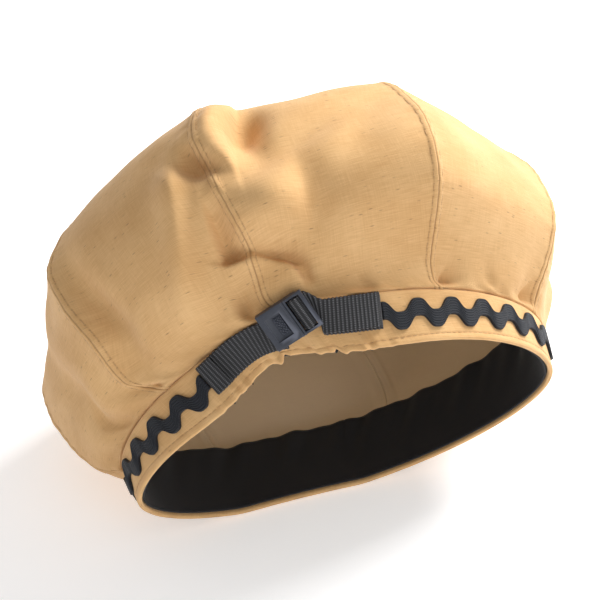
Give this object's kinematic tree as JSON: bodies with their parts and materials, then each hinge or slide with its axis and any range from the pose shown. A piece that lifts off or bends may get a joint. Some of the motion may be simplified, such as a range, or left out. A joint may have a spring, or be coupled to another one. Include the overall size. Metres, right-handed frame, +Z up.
{
  "type": "eight panel cap",
  "caption": "Puffy paneled cotton cap lying on its front, with a rick-rack trimmed band, black sweatband and a webbing strap and buckle at the back",
  "frame": {"origin": "on the floor that the cap lies on, under the middle of its box", "axes": "+Z up from the floor; +X across the head; the head opening faces -Y and the top of the crown faces +Y, with the back of the cap and its buckle uppermost"},
  "size_m": [0.272, 0.173, 0.23],
  "materials": {
    "crown_cloth": "plain woven slubby cotton, matt",
    "band_cloth": "the same cotton in several layers, matt",
    "sweatband_cloth": "black cotton tape, matt",
    "rick_rack_braid": "ribbed black wavy braid",
    "strap_webbing": "ribbed black webbing",
    "buckle_plastic": "moulded black plastic, satin"
  },
  "bodies": {
    "root": {"panel_1": "crown_cloth", "panel_2": "crown_cloth", "panel_3": "crown_cloth", "panel_4": "crown_cloth", "panel_5": "crown_cloth", "panel_6": "crown_cloth", "panel_7": "crown_cloth", "panel_8": "crown_cloth", "band": "band_cloth", "sweatband": "sweatband_cloth", "rick_rack": "rick_rack_braid", "strap_left": "strap_webbing", "strap_right": "strap_webbing", "buckle": "buckle_plastic"}
  },
  "joints": []
}
